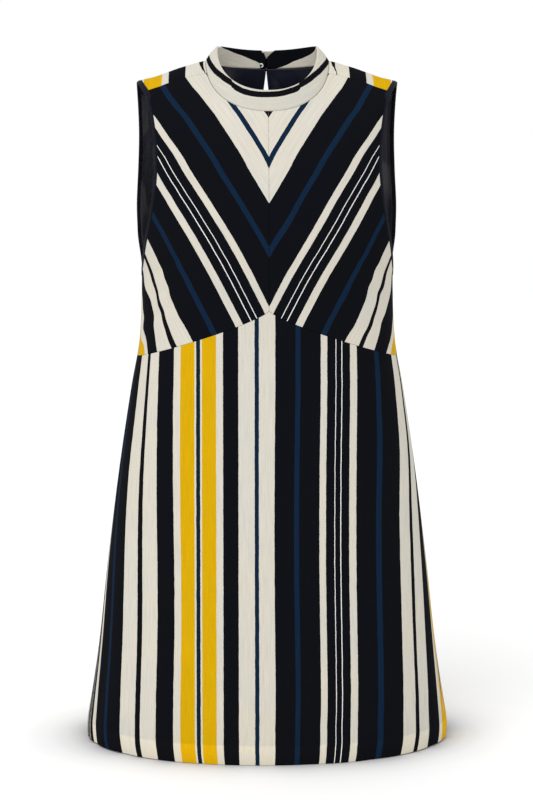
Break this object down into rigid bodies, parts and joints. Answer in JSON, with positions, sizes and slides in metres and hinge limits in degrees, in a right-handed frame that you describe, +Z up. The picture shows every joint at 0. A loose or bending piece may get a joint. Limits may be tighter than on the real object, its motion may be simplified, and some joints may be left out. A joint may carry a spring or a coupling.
{
  "type": "a-line dress",
  "caption": "Sleeveless A-line mini dress with a stand collar, bias-striped bodice, straight-striped skirt and keyhole back, filled out as worn.",
  "frame": {"origin": "midway between the two shoulder ridges, where the wearer's shoulders hold the dress up", "axes": "+Z up towards the collar, -Y the front of the dress, +X towards the wearer's left side"},
  "size_m": [0.473, 0.31, 0.8868],
  "materials": {
    "striped_cloth": "matte crepe with vertical stripes in cream, black, blue and yellow",
    "bodice_cloth": "the same striped crepe, cut on the bias",
    "collar_cloth": "the same striped crepe, mostly its cream bands",
    "lining_satin": "dark navy satin",
    "binding_cloth": "dark navy binding",
    "hook_wire": "white lacquered wire"
  },
  "bodies": {
    "root": {"front_bodice_left": "bodice_cloth", "front_bodice_right": "bodice_cloth", "front_skirt": "striped_cloth", "back_left": "striped_cloth", "back_right": "striped_cloth", "back_lining_left": "lining_satin", "back_lining_right": "lining_satin", "armhole_binding_left": "binding_cloth", "armhole_binding_right": "binding_cloth", "collar": "collar_cloth", "collar_tab": "collar_cloth", "neck_hook": "hook_wire"}
  },
  "joints": []
}
